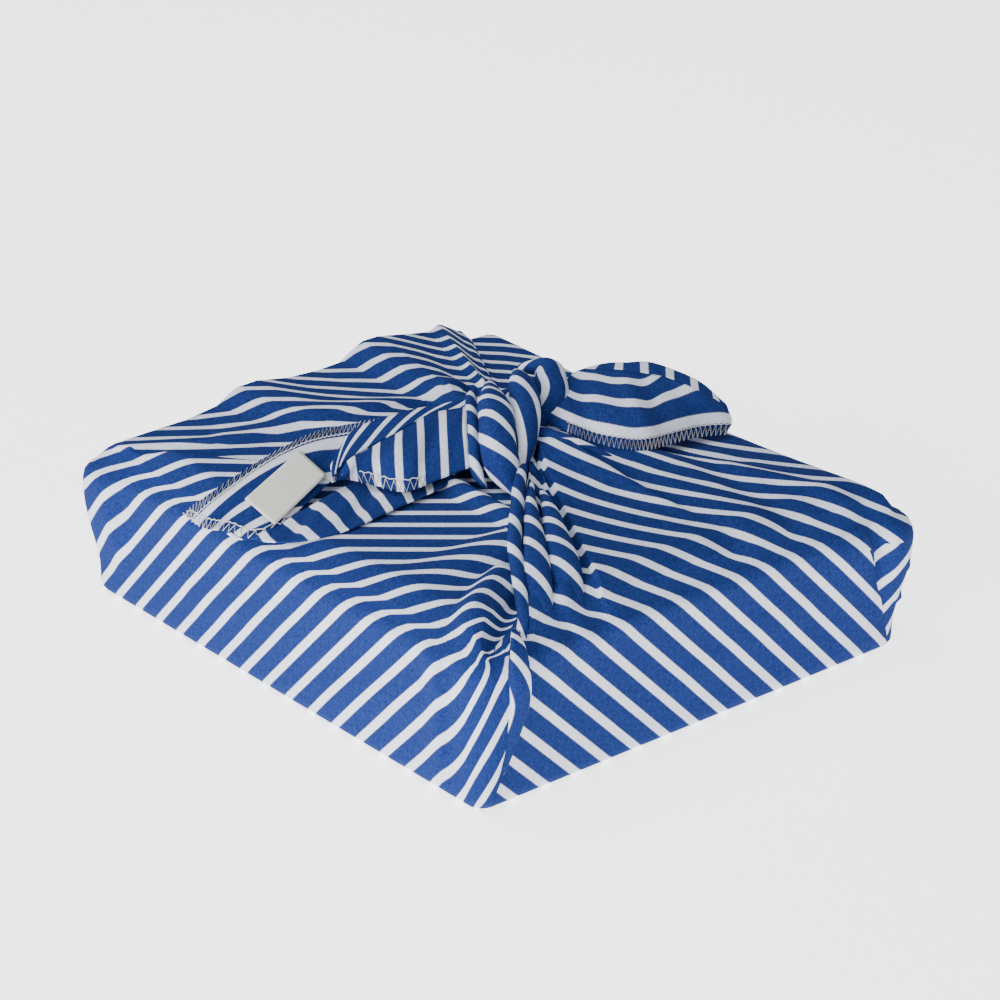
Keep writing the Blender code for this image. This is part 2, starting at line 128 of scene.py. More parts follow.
# Pleats of the tied back: girth on the outline, height over the lid near the knot and at the rim
BACK_PLEATS = (
    (400, 9, 5), (432, 12, 7), (442, 13, 12.5), (454, 12, 13), (460, 14, 16), (465, 18, 18.6),
    (471, 14, 16.4), (480, 13, 17.6), (489, 16, 19), (499, 17, 20.5), (507, 15, 20.3),
    (513, 12, 17.5), (518, 11, 14), (530, 13, 13.2), (545, 15, 13.6), (560, 14, 16),
    (569, 13, 15.4), (578, 12, 10), (591, 11, 7.8), (610, 10, 7), (628, 8, 6), (650, 7, 6),
)
FLAT_CRESTS = (
    Fold(-27, -10, -30, -52, 5, 6, 6, 7, 4, 3),
    Fold(-40, -62, -88, -62, 12, 14, 12, 14, 3.5, 1),
    Fold(-60, -80, -97, -103, 9, 10, 8, 9, 4.0, 6.0),
    Fold(-84, -113, -97, -117, 3, 4, 5, 6, 3.0, 3.0),
)
FLAT_TROUGHS = (
    Fold(-36, -73, -70, -73, 5, 6, 5, 6, -2, -0.5),
    Fold(-66, -97, -90, -111, 4, 5, 4, 5, -2.0, -2.4),
)
# Folds of the sides: girth and height instead of x and y
SIDE_FOLDS = (
    Fold(4, 3, 18, 54, 10, 9, 1.6, 1.6, 1.8, 3.0),
    Fold(14, 34, 15, 56, 1.4, 1.4, 6, 6, 0.6, 4.2),
    Fold(846, 6, 844, 54, 12, 12, 2.5, 3, 1.2, 3.2),
    Fold(33, 34, 34, 56, 6, 9, 7, 9, 0.4, 2.6),
    Fold(48, 40, 46, 56, 4, 6, 5, 7, 0.3, 2.0),
    Fold(60, 42, 62, 56, 4, 5, 8, 10, 0.2, 2.2),
    Fold(190, 2, 180, 46, 26, 30, 2, 2, 0.6, 2.6),
    Fold(192, 44, 222, 44, 14, 14, 34, 34, 5.5, 7.0),
    Fold(198, 33, 228, 35, 3, 4, 3, 4, 5.6, 6.6),
    Fold(198, 21, 222, 24, 3, 4, 3, 4, 3.6, 4.4),
    Fold(614, 44, 650, 44, 24, 26, 30, 34, 3.5, 5.5),
    Fold(440, 50, 428, 20, 10, 10, 10, 10, 3.0, 1.0),
    Fold(700, 22, 760, 30, 9, 10, 9, 10, 0.6, 0.4),
    Fold(780, 12, 836, 30, 9, 10, 9, 10, 0.5, 0.8),
    Fold(90, 20, 150, 32, 9, 10, 9, 10, 0.6, 0.6),
)

# ---------------------------------------------------------------- stripes
STRIPE_PITCH = 9.69
STRIPE_WHITE = 3.1
# How far the threads make a stripe's edge wander, and its soft edge as a share of the pitch
STRIPE_RAGGED, STRIPE_SOFT = 0.35, 0.012
# Where a white stripe's middle falls, for each side of the cloth
SLIPS = {"front": -5.2, "back": 0.0, "right": 0.0, "left": -1.2, "roll": -1.2}
# How far in from the outline the folds over the lid count fully in the stripes
EASE_DEPTH = 25.0

# The flat left side bunches up where it turns the near corner
BUNCH, BUNCH_BEFORE, BUNCH_REACH = 17.0, 14.0, 36.0
CORNER_TURN = 17.0
# How much more cloth than width the front holds near the knot
FRONT_GATHERED = 0.3
# How much less cloth than depth lies between the front's edge and the knot, and over what depth
FRONT_SHORT, FRONT_DEPTH = 0.45, 110.0

# ---------------------------------------------------------------- camera and light
# Places and sizes are in metres, the lens and its sensor in millimetres
CAMERA_PLACE = (-0.6062, -0.7327, 0.4533)
CAMERA_AIM = (0.029, 0.0277, 0.03)
CAMERA_LENS, CAMERA_SENSOR = 100.8, 36.0
# Lamps turned to one place: their own places, sizes, powers and colours
Lamp = namedtuple("Lamp", "name place size power colour")
LAMP_AIM = (0, 0, 0.03)
LAMPS = (
    Lamp("window", (-1.6, -0.35, 0.55), 0.8, 34, (1.0, 0.99, 0.98)),
    Lamp("front fill", (-0.2, -1.8, 0.8), 1.0, 3, (1.0, 0.88, 0.74)),
    Lamp("top fill", (-0.5, 0.7, 1.8), 1.2, 19, (0.97, 0.98, 1.0)),
)
SKY_COLOUR, SKY_STRENGTH = (0.88, 0.93, 1.0, 1), 0.45
FLOOR_GLOW = 2.4


# ================================================================ shapes
def smooth(value):
    """0 to 1 with soft ends."""
    value = np.clip(value, 0, 1)
    return value * value * (3 - 2 * value)


def relief(rows, a, b, pick=np.maximum):
    """The highest of the crests, or with pick=np.minimum the deepest trough, over (a, b)."""
    high = np.zeros_like(a)
    for row in rows:
        along_a, along_b = row.x1 - row.x0, row.y1 - row.y0
        length = math.hypot(along_a, along_b)
        along = ((a - row.x0) * along_a + (b - row.y0) * along_b) / length
        across = ((a - row.x0) * along_b - (b - row.y0) * along_a) / length
        share = np.clip(along / length, 0, 1)
        left = row.left0 + (row.left1 - row.left0) * share
        right = row.right0 + (row.right1 - row.right0) * share
        off = np.clip(np.where(across < 0, -across / left, across / right), 0, 1)
        beyond = np.maximum(np.maximum(-along, along - length), 0)
        crest = (row.high0 + (row.high1 - row.high0) * share) * np.cos(off * math.pi / 2) ** 1.4
        high = pick(high, crest * smooth(1 - beyond / FOLD_END))
    return high


def rim(girth, inset):
    """Place and outward direction on the rounded outline, inset from the outside."""
    girth = np.asarray(girth, float) % GIRTH
    sides = ((2 * HALF_X, (-1, -1), (1, 0)), (2 * HALF_Y, (1, -1), (0, 1)),
             (2 * HALF_X, (1, 1), (-1, 0)), (2 * HALF_Y, (-1, 1), (0, -1)))
    place = np.zeros((len(girth), 2))
    out = np.zeros((len(girth), 2))
    start = 0.0
    for length, corner, along in sides:
        along = np.array(along, float)
        normal = np.array((along[1], -along[0]))
        begin = np.array(corner) * (HALF_X, HALF_Y)
        here = (girth >= start) & (girth < start + length)
        reach = girth[here] - start
        turn = np.zeros_like(reach)
        near = reach < CORNER_ROUND
        far = reach > length - CORNER_ROUND
        turn[near] = -(1 - reach[near] / CORNER_ROUND) * math.pi / 4
        turn[far] = (1 - (length - reach[far]) / CORNER_ROUND) * math.pi / 4
        centre = np.clip(reach, CORNER_ROUND, length - CORNER_ROUND)
        direction = np.cos(turn)[:, None] * normal + np.sin(turn)[:, None] * along
        base = begin + centre[:, None] * along - normal * CORNER_ROUND
        place[here] = base + direction * (CORNER_ROUND - np.asarray(inset)[here][:, None])
        out[here] = direction
        start += length
    return place, out


def radial(x, y):
    """Girth position and reach of places on the lid along straight lines from the gather."""
    dx, dy = x - GATHER_X, y - GATHER_Y
    dx = np.where(np.abs(dx) < 1e-6, 1e-6, dx)
    dy = np.where(np.abs(dy) < 1e-6, 1e-6, dy)
    to_x = (np.sign(dx) * HALF_X - GATHER_X) / dx
    to_y = (np.sign(dy) * HALF_Y - GATHER_Y) / dy
    scale = np.minimum(to_x, to_y)
    rim_x, rim_y = GATHER_X + dx * scale, GATHER_Y + dy * scale
    girth = np.where(
        to_x < to_y,
        np.where(dx > 0, 2 * HALF_X + rim_y + HALF_Y, 4 * HALF_X + 2 * HALF_Y + HALF_Y - rim_y),
        np.where(dy < 0, rim_x + HALF_X, 2 * HALF_X + 2 * HALF_Y + HALF_X - rim_x))
    return girth, 1 / scale


def felt(girth, edge, reach):
    """How much of an edge's move is felt: 1 at the edge, falling to 0 at the reach."""
    off = (girth - edge + GIRTH / 2) % GIRTH - GIRTH / 2
    return np.cos(np.clip(off / reach, -1, 1) * math.pi / 2) ** 2


def bowed(girth, reach):
    """How far a place moves towards -X because edges bow out."""
    reach = np.clip(reach, 0, 1)
    move = 0 * girth
    for row in BOWS:
        move = move + row.amount * 4 * reach * (1 - reach) * felt(girth, row.girth, row.window)
    return move


def roll_edge(reach):
    """Girth position of the roll's left edge, which runs in under the front's edge."""
    return FRONT_LEAD - (FRONT_LEAD - ROLL_START) * (0.08 + 0.92 * smooth((reach - 0.92) / 0.08))


def squeezed(girth, reach):
    """Columns pushed along the girth so that one of them follows the roll's edge."""
    turned = np.where(girth > GIRTH / 2, girth - GIRTH, girth)
    push = np.interp(turned, (-26, ROLL_START, FRONT_LEAD), (0, 1, 0))
    return girth + push * (roll_edge(reach) - ROLL_START)


def girth_seen(x, y):
    """Girth position and reach (0 at the gather, 1 at the outline) of places on the lid."""
    shifted = x
    for _ in range(6):
        shifted = x + bowed(*radial(shifted, y))
    return radial(shifted, y)


def front_pleated(girth, reach):
    """Height of the pleats gathered at the front's edge."""
    spread = smooth((reach - 0.25) / 0.65)
    places = [(inner + (outer - inner) * spread, low + (high - low) * spread)
              for inner, outer, low, high in FRONT_PLEATS]
    high = 0 * girth
    for (here, low), (after, top) in zip(places, places[1:]):
        share = smooth((girth - here) / (after - here))
        high = np.where(girth >= here, low + (top - low) * share, high)
    return high


def band(value, start, end, soft):
    """1 between start and end, falling to 0 over a soft edge outside it."""
    return smooth((value - start) / soft + 1) * smooth((end - value) / soft + 1)


def lid_height(x, y):
    """Height of the cloth over the lid."""
    girth, reach = girth_seen(x, y)
    edge = np.maximum(reach, 0.15)
    front = smooth((girth - FRONT_LEAD) * edge / 1.2 + 1)
    front = np.where(girth > GIRTH / 2, 0, front) * smooth((FRONT_END - girth) * edge / 2.4 + 1)
    back = band(girth, BACK_START, BACK_LEAD, 3 / edge)
    inside = np.minimum(HALF_X - np.abs(x), HALF_Y - np.abs(y))
    crown = (CROWN_NEAR + CROWN_FAR * smooth((y - 20) / 90)) * smooth(inside / CROWN_EDGE)
    crown += CROWN_KNOT * np.clip(1 - reach, 0, 1) ** 1.2
    fade = smooth(inside / 4)
    gathered = smooth((reach - 0.05) / 0.12)
    front_high = front * (OVERLAP - 1 + gathered * front_pleated(girth, reach))
    broad = front * band(girth, BROAD_START, FRONT_END, 1.6 / edge)
    rise = BROAD_RISE_KNOT + (BROAD_RISE_RIM - BROAD_RISE_KNOT) * smooth(reach)
    rise *= 1 - 0.7 * smooth((girth - BROAD_FALL) / (BROAD_FALL_END - BROAD_FALL))
    share = 1 - (1 - BROAD_LOW) * smooth((girth - BROAD_FALL) / (BROAD_FALL_END - BROAD_FALL))
    domed = BROAD_SHOULDER * smooth(inside / BROAD_EDGE) + share * BROAD_DOME * np.clip(1 - reach, 0, 1)
    ropes_high = ROPES_RISE * np.maximum(domed - crown, 0) * smooth((girth - FRONT_LEAD + 1) / 5)
    domed = np.maximum(domed, crown + rise * smooth(inside / 8))
    broad_high = (OVERLAP + domed - crown + relief(BROAD_CRESTS, x, y)
                  + relief(BROAD_TROUGHS, x, y, np.minimum))
    front_high = (front_high + front * ropes_high) * (1 - broad) + broad * broad_high
    pleats, inner, outer = np.array(BACK_PLEATS).T
    inner = np.interp(girth, pleats, inner)
    outer = np.interp(girth, pleats, outer)
    spread = smooth((reach - 0.3) / 0.62)
    pleated = inner + (outer - inner) * spread
    back_high = back * (relief(BACK_CRESTS, x, y) + np.maximum(pleated, 0))
    crown = crown * (1 - back)
    flat_high = relief(FLAT_CRESTS, x, y) + relief(FLAT_TROUGHS, x, y, np.minimum)
    rolled = smooth((girth - roll_edge(reach)) / 1.4) * (girth < FRONT_LEAD + 4)
    flat_high += ROLL_HIGH * rolled * smooth((reach - ROLL_REACH) / 0.12)
    flat_high *= (1 - front) * (1 - back)
    low = smooth(inside / 9)
    return LID + crown + fade * (front_high + flat_high) + low * back_high


def side_profile(run):
    """Inset and height for a length run down the side from the lid's edge."""
    arc_lid = LID_ROUND * math.pi / 2
    straight = LID - LID_ROUND - FOOT_ROUND
    if run < arc_lid:
        turn = run / LID_ROUND
        return LID_ROUND * (1 - math.sin(turn)), LID - LID_ROUND * (1 - math.cos(turn))
    if run < arc_lid + straight:
        return 0.0, LID - LID_ROUND - (run - arc_lid)
    turn = (run - arc_lid - straight) / FOOT_ROUND
    return FOOT_ROUND * (1 - math.cos(turn)), FOOT_ROUND * (1 - math.sin(turn))


SIDE_RUN = (LID_ROUND + FOOT_ROUND) * math.pi / 2 + LID - LID_ROUND - FOOT_ROUND


def drifted(girth, height):
    """Girth positions of the columns at a height on the side."""
    moved = girth.copy()
    for row in DRIFTS:
        move = np.interp(height, row.heights, row.moves)
        moved += move * felt(girth, row.girth, row.reach)
    return moved


def side_bulge(girth, height):
    """How far the side's folds stand out."""
    girth = girth % GIRTH
    high = height + np.zeros_like(girth)
    turned = np.where(girth > GIRTH / 2, girth - GIRTH, girth)
    early = [row for row in SIDE_FOLDS if row.x0 < GIRTH / 2]
    late = [row for row in SIDE_FOLDS if row.x0 >= GIRTH / 2]
    wrapped = [Fold(row.x0 - GIRTH, row.y0, row.x1 - GIRTH, *row[3:]) for row in late
               if row.x0 > 800]
    bulge = np.maximum(relief(early, girth, high), relief(late, girth, high))
    bulge = np.maximum(bulge, relief(early + wrapped, turned, high))
    return bulge * smooth(high / FOOT_ROUND - 0.2)


def girth_stations():
    """Girth positions of the columns."""
    stations = []
    for (start, columns), (end, _) in zip(STRETCHES, STRETCHES[1:]):
        stations += list(np.linspace(start, end, columns, endpoint=False))
    return np.array(stations)


def wrap_rings():
    """For each ring from the knot to the middle of the base: places, girth and side run."""
    girth = girth_stations()
    none = np.zeros_like(girth)
    rings = []
    outer, _ = rim(girth, none + LID_ROUND)
    gather = np.array((GATHER_X, GATHER_Y))
    start = GATHER_FOOT / np.hypot(outer[:, 0] - GATHER_X, outer[:, 1] - GATHER_Y)
    for share in np.linspace(0, 1, LID_RINGS + 1)[1:]:
        reach = start + (1 - start) * share
        here = squeezed(girth, share)
        outer, _ = rim(here, none + LID_ROUND)
        flat = gather + (outer - gather) * reach[:, None]
        flat[:, 0] -= bowed(here, reach)
        rings.append(("lid", girth, flat, lid_height(flat[:, 0], flat[:, 1]), 0.0))
    for share in np.linspace(0, 1, SIDE_RINGS + 1)[1:]:
        run = share * SIDE_RUN
        inset, height = side_profile(run)
        here = drifted(girth, height)
        place, out = rim(here, none + inset)
        place = place + out * side_bulge(here, height)[:, None]
        rings.append(("side", here, place, none + height, run))
    for share in np.linspace(0, 1, BASE_RINGS + 1)[1:]:
        outer, _ = rim(drifted(girth, 0.0), none + FOOT_ROUND)
        rings.append(("base", girth, outer * (1 - share), none, SIDE_RUN))
    return rings


# ================================================================ where the stripes fall
class Drape:
    """Lengths measured over the folded lid, from which the cloth's own places follow."""

    def __init__(self):
        self.xs = np.arange(-HALF_X, HALF_X + 0.5, 1.0)
        self.ys = np.arange(-HALF_Y, HALF_Y + 0.5, 1.0)
        grid_x, grid_y = np.meshgrid(self.xs, self.ys, indexing="ij")
        height = lid_height(grid_x.ravel(), grid_y.ravel()).reshape(grid_x.shape)
        slope_x, slope_y = np.gradient(height)
        self.over_x = np.cumsum(np.sqrt(1 + slope_x ** 2), axis=0)
        self.over_y = np.cumsum(np.sqrt(1 + slope_y ** 2), axis=1)
        self.over_x -= self.over_x[0]
        self.over_y -= self.over_y[:, :1]

    def read(self, table, x, y):
        """A table's value at places, between its cells."""
        column = np.clip(x + HALF_X, 0, len(self.xs) - 1.001)
        row = np.clip(y + HALF_Y, 0, len(self.ys) - 1.001)
        i, j = column.astype(int), row.astype(int)
        u, v = column - i, row - j
        return (table[i, j] * (1 - u) * (1 - v) + table[i + 1, j] * u * (1 - v)
                + table[i, j + 1] * (1 - u) * v + table[i + 1, j + 1] * u * v)

    def length_x(self, x, y, start):
        """Length over the folds along X from start to x."""
        return self.read(self.over_x, x, y) - self.read(self.over_x, x * 0 + start, y)

    def length_y(self, x, y, start):
        """Length over the folds along Y from start to y."""
        return self.read(self.over_y, x, y) - self.read(self.over_y, x, y * 0 + start)


def cloth_places(drape, panel, kind, x, y, girth, run):
    """Places on the flat cloth (c1, c2) for one side of the wrap, above the base."""
    up = SIDE_RUN - run
    girth = girth % GIRTH
    if panel == "front":
        if kind == "side":
            return girth - HALF_X, -(HALF_Y + up + x * 0)
        ease = smooth((y + HALF_Y) / EASE_DEPTH)
        _, reach = radial(x, y)
        over = GATHER_X + drape.length_x(x, y, GATHER_X) * (1 + FRONT_GATHERED * (1 - reach))
        deep = drape.length_y(x, y, -HALF_Y)
        deep = deep * (1 - FRONT_SHORT * deep / FRONT_DEPTH)
        return x + (over - x) * ease, -(HALF_Y + SIDE_RUN + deep)
    if panel == "back":
        if kind == "side":
            return 2 * HALF_X + 2 * HALF_Y + HALF_X - girth, HALF_Y + up + x * 0
        ease = smooth((HALF_Y - y) / EASE_DEPTH)
        over = drape.length_x(x, y, 0.0)
        return x + (over - x) * ease, HALF_Y + SIDE_RUN - drape.length_y(x, y, HALF_Y)
    if panel == "right":
        if kind == "side":
            return HALF_X + up + x * 0, girth - 2 * HALF_X - HALF_Y
        return HALF_X + SIDE_RUN - drape.length_x(x, y, HALF_X), y
    if kind == "side":
        past = np.where(girth < GIRTH / 2, girth, girth - GIRTH)
        return -(HALF_X + up + x * 0), -HALF_Y - past - bunched(past)
    turned = 1 - smooth((y + HALF_Y) / CORNER_TURN)
    if panel == "roll":
        turned = 1
    inward = drape.length_x(x, y, -HALF_X)
    past = x + HALF_X - (y + HALF_Y)
    return (-(HALF_X + SIDE_RUN + inward * (1 - turned)),
            y - turned * (x + HALF_X + bunched(past)))


def bunched(past):
    """Cloth gathered up beyond the near corner, past it along the girth."""
    return BUNCH * smooth((past + BUNCH_BEFORE) / BUNCH_REACH)


def panel_of(girth, kind, height, reach):
    """Which side of the cloth lies on top, by girth position on the lid's outline."""
    if kind == "lid":
        if ROLL_START <= girth < FRONT_LEAD and reach > ROLL_REACH:
            return "roll"
        if FRONT_LEAD <= girth < FRONT_END:
            return "front"
        if FRONT_END <= girth < BACK_START:
            return "right"
        return "back" if BACK_START <= girth < BACK_LEAD else "left"
    if kind == "base":
        return "base"
    if FRONT_LEAD <= girth < FRONT_HOOD:
        return "front"
    if FRONT_HOOD <= girth < 2 * HALF_X + 2 * HALF_Y:
        hood = girth < HOOD_END and height > HOOD_BOTTOM
        return "front" if hood else "right"
    return "back" if 2 * HALF_X + 2 * HALF_Y <= girth < BACK_LEAD else "left"


def stripe_uv(c1, c2, slip):
    """Across the stripes and along them, in metres, from the cloth's places in millimetres."""
    return (c1 - c2) / math.sqrt(2) + slip, (c1 + c2) / math.sqrt(2)


# ================================================================ meshes
def finished(name, bm, material, turn=True):
    """A shaded object from a bmesh in metres."""
    if turn:
        bmesh.ops.recalc_face_normals(bm, faces=bm.faces)
    for face in bm.faces:
        face.smooth = True
    mesh = bpy.data.meshes.new(name)
    bm.to_mesh(mesh)
    bm.free()
    obj = bpy.data.objects.new(name, mesh)
    bpy.context.scene.collection.objects.link(obj)
    mesh.materials.append(material)
    return obj


def globe(columns, rings):
    """A UV sphere with each vertex named by its ring (0 is the top pole) and its column."""
    bm = bmesh.new()
    bmesh.ops.create_uvsphere(bm, u_segments=columns, v_segments=rings, radius=1)
    named = {}
    for vert in bm.verts:
        ring = round(math.acos(max(-1, min(1, vert.co.z))) / math.pi * rings)
        column = round(math.atan2(vert.co.y, vert.co.x) / math.tau * columns) % columns
        named[vert] = (ring, column)
    return bm, named


def wrap(material):
    """The cloth round the box: its outside, and the two sides of it folded under the tied ones."""
    rings = wrap_rings()
    columns, count = len(rings[0][1]), len(rings)
    bm, named = globe(columns, count)
    drape = Drape()
    top = lid_height(np.array([GATHER_X]), np.array([GATHER_Y]))[0]
    girth = rings[0][1]
    table = {}
    for panel, slip in SLIPS.items():
        for index, (kind, here, place, _, run) in enumerate(rings):
            if kind != "base":
                c1, c2 = cloth_places(drape, panel, kind, place[:, 0], place[:, 1], here, run)
                table[panel, index] = stripe_uv(c1, c2, slip)
    for vert, (ring, column) in named.items():
        if ring == 0:
            vert.co = Vector((GATHER_X, GATHER_Y, top)) * MM
        elif ring == count:
            vert.co = Vector((0, 0, 0))
        else:
            _, _, place, height, _ = rings[ring - 1]
            vert.co = Vector((place[column][0], place[column][1], height[column])) * MM
    layer = bm.loops.layers.uv.new("cloth")
    for face in bm.faces:
        marks = [named[vert] for vert in face.verts]
        cols = sorted({column for ring, column in marks if 0 < ring < count})
        first = cols[0]
        if len(cols) > 1 and cols[-1] - cols[0] > columns / 2:
            first = cols[-1]
        outer = max(ring for ring, _ in marks) - 1
        outer = min(outer, count - 2)
        kind, _, _, height, _ = rings[outer]
        panel = panel_of(girth[first], kind, height[first], outer / LID_RINGS)
        for loop in face.loops:
            ring, column = named[loop.vert]
            if ring == 0 or ring == count:
                column = first
            index = min(max(ring - 1, 0), count - 2)
            if panel == "base":
                index = max(index, next(i for i, row in enumerate(rings) if row[0] == "side") + 1)
                c1, c2 = rings[index][2][column]
                u, v = stripe_uv(c1, c2, 0.0)
            else:
                u, v = table[panel, index][0][column], table[panel, index][1][column]
            loop[layer].uv = (u * MM, v * MM)
    for level in FOLDED_LEVELS:
        add_folded_layer(bm, layer, level)
    obj = finished("wrap", bm, material)
    thicken(obj)
    return obj


def add_folded_layer(bm, layer, level):
    """One side of the cloth as it lies flat on the box, under the tied sides."""
    sheet = bmesh.ops.create_grid(bm, x_segments=28, y_segments=32, size=1)
    for vert in sheet["verts"]:
        x, y = vert.co.x * (HALF_X - FOLDED_INSET), vert.co.y * (HALF_Y - FOLDED_INSET)
        wave = 0.25 * math.sin(x * 0.09 + y * 0.05) + 0.15 * math.sin(y * 0.16)
        vert.co = Vector((x, y, level + wave)) * MM
        for loop in vert.link_loops:
            loop[layer].uv = ((x - y) / math.sqrt(2) * MM, (x + y) / math.sqrt(2) * MM)


def thicken(obj):
    """Give a sheet its thickness."""
    wall = obj.modifiers.new("cloth thickness", "SOLIDIFY")
    wall.thickness = CLOTH_THICK * MM
    wall.offset = -1
    wall.use_quality_normals = True
    wall.use_even_offset = False


def curve_through(points, count):
    """Places on a smooth curve through points."""
    table = np.array(points, float)
    padded = np.vstack((2 * table[0] - table[1], table, 2 * table[-1] - table[-2]))
    out = []
    for share in np.linspace(0, len(table) - 1, count):
        cell = min(int(share), len(table) - 2)
        t = share - cell
        p0, p1, p2, p3 = padded[cell:cell + 4]
        out.append(0.5 * (2 * p1 + (p2 - p0) * t + (2 * p0 - 5 * p1 + 4 * p2 - p3) * t ** 2
                          + (3 * p1 - p0 - 3 * p2 + p3) * t ** 3))
    return np.array(out)


# The side on which the tails' sheets lie open to view
OUTWARD = Vector((-0.5, -0.6, 0.6))


def railed_surface(rails, along, across):
    """Places on a smooth surface through rails: an array (along, across, 3)."""
    lines = np.array([curve_through(rail, along) for rail in rails])
    return np.array([curve_through(lines[:, i], across) for i in range(along)])


def turned_uv(u, v, turn, slip, spread=1.0):
    """Across a piece's stripes and along them, in metres, from its own lengths in millimetres."""
    across = (u * math.cos(turn) + v * math.sin(turn)) * spread + slip
    return across * MM, (v * math.cos(turn) - u * math.sin(turn)) * MM


def sheet_from(name, surface, material, turn, slip, spread=1.0):
    """A thin sheet over a surface, its stripes turned against its length."""
    along, across = surface.shape[:2]
    bm = bmesh.new()
    bmesh.ops.create_grid(bm, x_segments=along - 1, y_segments=across - 1, size=1)
    steps_u = np.linalg.norm(np.diff(surface, axis=0), axis=2)
    steps_v = np.linalg.norm(np.diff(surface, axis=1), axis=2)
    u = np.concatenate(([0], np.cumsum(steps_u.mean(axis=1))))
    v = np.vstack((np.zeros((1, along)), np.cumsum(steps_v.T, axis=0))).T
    layer = bm.loops.layers.uv.new("cloth")
    for vert in bm.verts:
        i = round((vert.co.x + 1) / 2 * (along - 1))
        j = round((vert.co.y + 1) / 2 * (across - 1))
        vert.co = Vector(surface[i, j]) * MM
        for loop in vert.link_loops:
            loop[layer].uv = turned_uv(u[i], v[i, j], turn, slip, spread)
    bm.normal_update()
    if sum((face.normal * face.calc_area() for face in bm.faces), Vector()).dot(OUTWARD) < 0:
        bmesh.ops.reverse_faces(bm, faces=bm.faces)
    obj = finished(name, bm, material, turn=False)
    thicken(obj)
    return obj


# A section of a rolled band: its place, half width and half thickness, and then, where they differ
# from the usual ones, its bow and the direction of its width
Section = namedtuple("Section", "x y z wide thick bow ax ay az", defaults=(0, 1, -0.84, 0))


def knot_band(material, name, rows, turn, slip, pleats, pleat_high, sides, count):
    """A rolled band of cloth swept along its sections, with soft pleats along it."""
    table = curve_through([Section(*row) for row in rows], count + 1)
    sections = [Section(*row) for row in table]
    bm, named = globe(sides, count)
    layer = bm.loops.layers.uv.new("cloth")
    places, marks = {}, {}
    run = 0.0
    for ring, here in enumerate(sections):
        before, after = sections[max(ring - 1, 0)], sections[min(ring + 1, count)]
        if ring:
            run += (Vector(here[:3]) - Vector(sections[ring - 1][:3])).length
        along = (Vector(after[:3]) - Vector(before[:3])).normalized()
        wide = Vector((here.ax, here.ay, here.az))
        wide = (wide - along * wide.dot(along)).normalized()
        thick = along.cross(wide)
        edge = math.sin(math.pi * ring / count) ** 0.3 if 0 < ring < count else 0.0
        girth = 0.0
        last = None
        for column in range(sides + 1):
            angle = column / sides * math.tau
            ripple = 1 + pleat_high * math.cos(pleats * angle + 0.6)
            place = Vector(here[:3]) + wide * here.wide * math.cos(angle) * edge
            place += thick * (here.thick * ripple * math.sin(angle) * edge
                              + here.bow * math.sin(angle) ** 2 * edge)
            if last is not None:
                girth += (place - last).length
            last = place
            places[ring, column] = place
            marks[ring, column] = (run, girth)
    for vert, (ring, column) in named.items():
        vert.co = places[ring, column] * MM
    for face in bm.faces:
        cols = [named[vert][1] for vert in face.verts if 0 < named[vert][0] < count]
        wraps = max(cols) - min(cols) > sides / 2
        for loop in face.loops:
            ring, column = named[loop.vert]
            if ring in (0, count):
                column = max(cols) if not wraps else sides
            elif wraps and column == 0:
                column = sides
            loop[layer].uv = turned_uv(*marks[ring, column], turn, slip)
    return finished(name, bm, material)


def stitch_line(name, edge, inner, pitch, radius, material):
    """A zigzag thread between two lines."""
    length = float(np.sum(np.linalg.norm(np.diff(edge, axis=0), axis=1)))
    count = max(int(length / pitch * 2), 4)
    outer, middle = curve_through(edge, count), curve_through(inner, count)
    curve = bpy.data.curves.new(name, "CURVE")
    curve.dimensions = "3D"
    curve.bevel_depth = radius * MM
    curve.bevel_resolution = 0
    curve.use_fill_caps = True
    spline = curve.splines.new("POLY")
    spline.points.add(count - 1)
    for index in range(count):
        place = outer[index] if index % 2 == 0 else middle[index]
        spline.points[index].co = (*(Vector(place) * MM), 1)
    holder = bpy.data.objects.new(name + " line", curve)
    bpy.context.scene.collection.objects.link(holder)
    bpy.context.view_layer.update()
    mesh = bpy.data.meshes.new_from_object(
        holder.evaluated_get(bpy.context.evaluated_depsgraph_get()))
    bpy.data.objects.remove(holder, do_unlink=True)
    mesh.name = name
    mesh.materials.clear()
    mesh.materials.append(material)
    obj = bpy.data.objects.new(name, mesh)
    bpy.context.scene.collection.objects.link(obj)
    return obj


# ================================================================ materials
def node(tree, kind, inputs=None, **settings):
    """A shader node with its settings, and inputs given as values or sockets."""
    made = tree.nodes.new(kind)
    for key, value in settings.items():
        setattr(made, key, value)
    for key, value in (inputs or {}).items():
        if isinstance(value, bpy.types.NodeSocket):
            tree.links.new(value, made.inputs[key])
        else:
            made.inputs[key].default_value = value
    return made


def sums(tree, operation, *values):
    """A Math node's result."""
    return node(tree, "ShaderNodeMath", dict(enumerate(values)), operation=operation).outputs[0]


def blend_colours(tree, factor, first, second, blend_type="MIX"):
    """A mix of two colours."""
    mixed = node(tree, "ShaderNodeMix", data_type="RGBA", blend_type=blend_type)
    for socket, value in zip((mixed.inputs[0], mixed.inputs[6], mixed.inputs[7]),
                             (factor, first, second)):
        if isinstance(value, bpy.types.NodeSocket):
            tree.links.new(value, socket)
        else:
            socket.default_value = value
    return mixed.outputs[2]


def cloth_noise(tree, places, scale):
    """Noise on the cloth's own places, finer across one direction of the threads."""
    mapped = node(tree, "ShaderNodeMapping", {"Vector": places, "Scale": scale}).outputs[0]
    return node(tree, "ShaderNodeTexNoise",
                {"Vector": mapped, "Scale": 1.0, "Detail": 2.0}).outputs[0]


